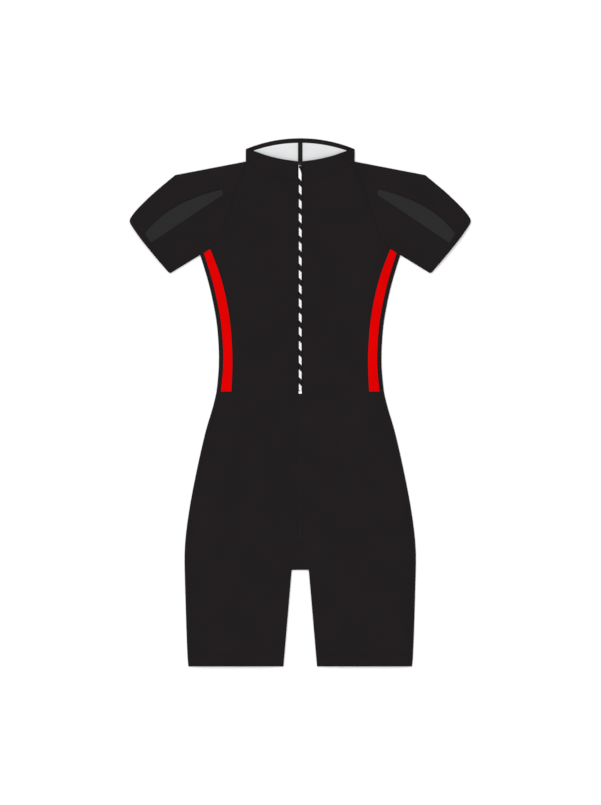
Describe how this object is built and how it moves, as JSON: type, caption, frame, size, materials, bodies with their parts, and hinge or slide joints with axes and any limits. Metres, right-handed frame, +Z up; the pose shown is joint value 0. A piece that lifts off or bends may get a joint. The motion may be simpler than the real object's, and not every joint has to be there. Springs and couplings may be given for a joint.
{
  "type": "unitard",
  "caption": "Short unitard laid flat, with raglan sleeves, stand collar, centre-front zip, red side stripes and dark grey sleeve inserts.",
  "frame": {"origin": "on the surface the garment lies on, under the middle of its bounding box", "axes": "+X towards the wearer's left, +Y from the hems towards the collar, +Z up, out of the garment's front"},
  "size_m": [0.6306, 0.9765, 0.0116],
  "materials": {
    "black_knit": "matte warp-knit elastane jersey with a faint sheen",
    "red_knit": "matte warp-knit elastane jersey, plain red",
    "grey_knit": "matte dark grey knit",
    "lining_knit": "soft light grey brushed knit",
    "black_tape": "woven polyester tape",
    "zip_plastic": "moulded teeth in slanting bands of white and black",
    "white_plastic": "moulded white plastic, satin",
    "black_metal": "die-cast zinc with black enamel"
  },
  "bodies": {
    "garment": {"front_left": "black_knit", "front_right": "black_knit", "side_stripe_left": "red_knit", "side_stripe_right": "red_knit", "back_left": "black_knit", "back_right": "black_knit", "sleeve_front_left": "black_knit", "sleeve_front_right": "black_knit", "sleeve_insert_left": "grey_knit", "sleeve_insert_right": "grey_knit", "sleeve_back_left": "black_knit", "sleeve_back_right": "black_knit", "collar_left": "black_knit", "collar_right": "black_knit", "collar_lining": "lining_knit", "neck_facing": "black_knit", "centre_back_tape": "black_tape", "zip_tape_left": "black_tape", "zip_tape_right": "black_tape", "zip_chain": "zip_plastic", "bottom_stop": "white_plastic", "top_stop_left": "black_metal", "top_stop_right": "black_metal", "zip_slider": "black_metal"},
    "pull_tab": {"zip_pull": "white_plastic"}
  },
  "joints": [
    {"name": "pull_hinge", "type": "hinge", "parent": "garment", "child": "pull_tab", "pos_m": [0, 0.43755, 0.0098], "axis": [-1, 0, 0], "range_deg": [0, 150]}
  ]
}
